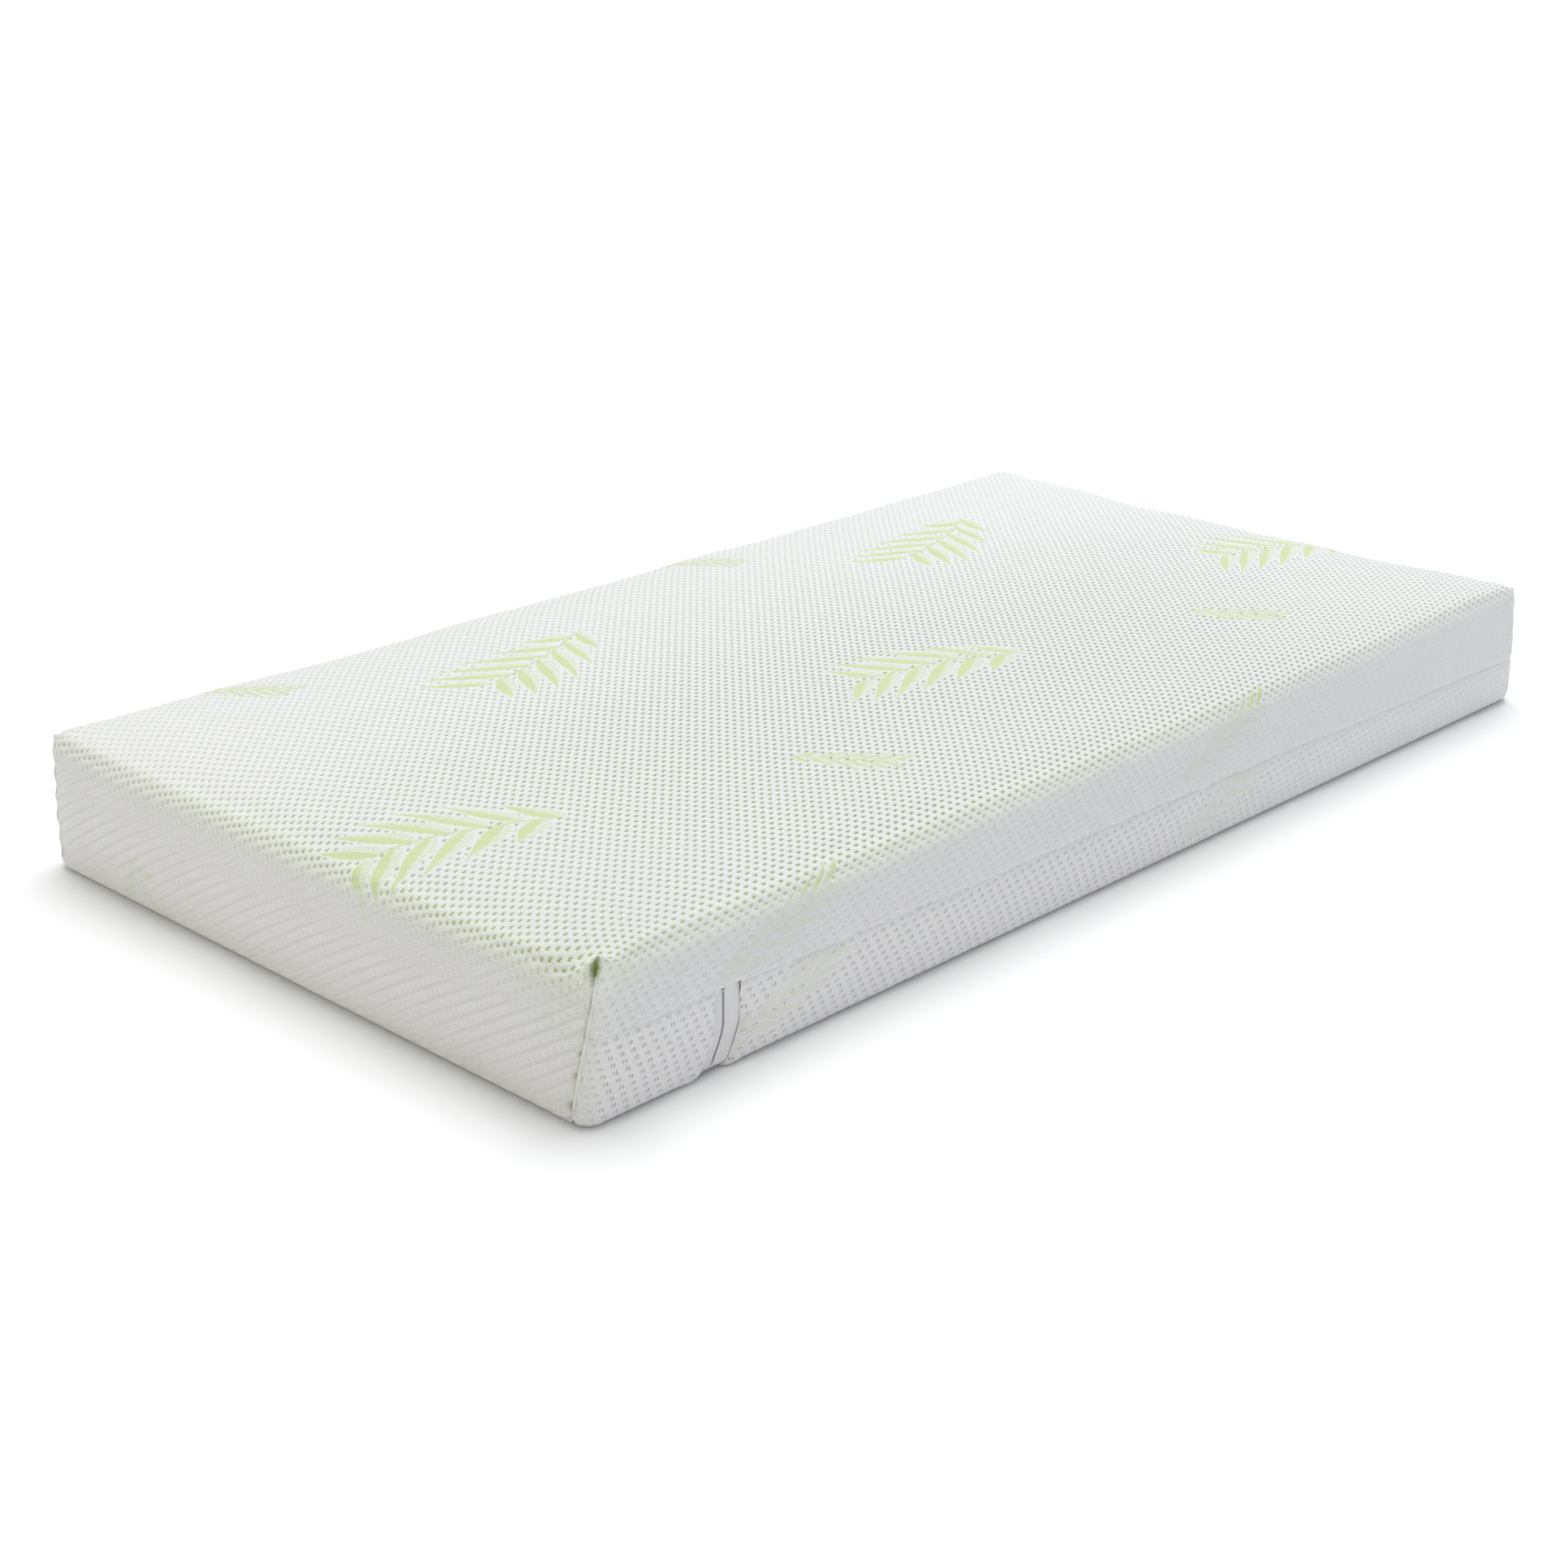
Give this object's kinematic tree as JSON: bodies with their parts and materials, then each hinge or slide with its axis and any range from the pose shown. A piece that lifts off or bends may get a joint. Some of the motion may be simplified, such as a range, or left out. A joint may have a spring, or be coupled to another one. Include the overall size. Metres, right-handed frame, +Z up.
{
  "type": "memory foam cot mattress",
  "caption": "Memory foam cot mattress with a base foam block, a memory foam layer, an inner sock and a zip-off knitted cover with boxed corners.",
  "frame": {"origin": "middle of the underside, on the surface the mattress lies on", "axes": "+Y along the length, towards the end away from the zip; +X across the width; +Z up, out of the sleeping surface"},
  "size_m": [0.7007, 1.32, 0.125],
  "materials": {
    "knit_cover": "white double-knit jacquard with small green tuck stitches",
    "base_foam": "open-cell polyurethane foam",
    "memory_foam": "fine open-cell viscoelastic foam",
    "stockinette": "thin white tubular knit",
    "seam_thread": "overlocked polyester thread",
    "zip_tape": "white woven polyester twill tape",
    "zip_coil": "white nylon monofilament coil",
    "zip_slider": "white baked enamel on zinc alloy",
    "zip_stop": "crimped aluminium strip",
    "label": "blank white woven satin label"
  },
  "bodies": {
    "mattress": {"base_foam_core": "base_foam", "memory_foam_layer": "memory_foam", "inner_sock": "stockinette", "cover_top_panel": "knit_cover", "cover_base_main": "knit_cover", "cover_base_foot": "knit_cover", "side_seam_left": "seam_thread", "side_seam_right": "seam_thread", "corner_seam_left_foot": "seam_thread", "corner_seam_left_head": "seam_thread", "corner_seam_right_foot": "seam_thread", "corner_seam_right_head": "seam_thread", "end_seam_foot": "seam_thread", "end_seam_head": "seam_thread", "zip_tape_foot": "zip_tape", "zip_tape_head": "zip_tape", "zip_coil_foot": "zip_coil", "zip_coil_head": "zip_coil", "zip_stop_left": "zip_stop", "zip_stop_right": "zip_stop", "care_label": "label"},
    "slider": {"zip_slider_body": "zip_slider"},
    "puller": {"zip_puller": "zip_slider"}
  },
  "joints": [
    {"name": "zip_slide", "type": "slide", "parent": "mattress", "child": "slider", "axis": [0, 0, -1], "range_m": [0, 0.036]},
    {"name": "puller_swing", "type": "hinge", "parent": "slider", "child": "puller", "pos_m": [-0.3486, -0.52, 0.05987], "axis": [0, 1, 0], "range_deg": [0, 150]}
  ]
}
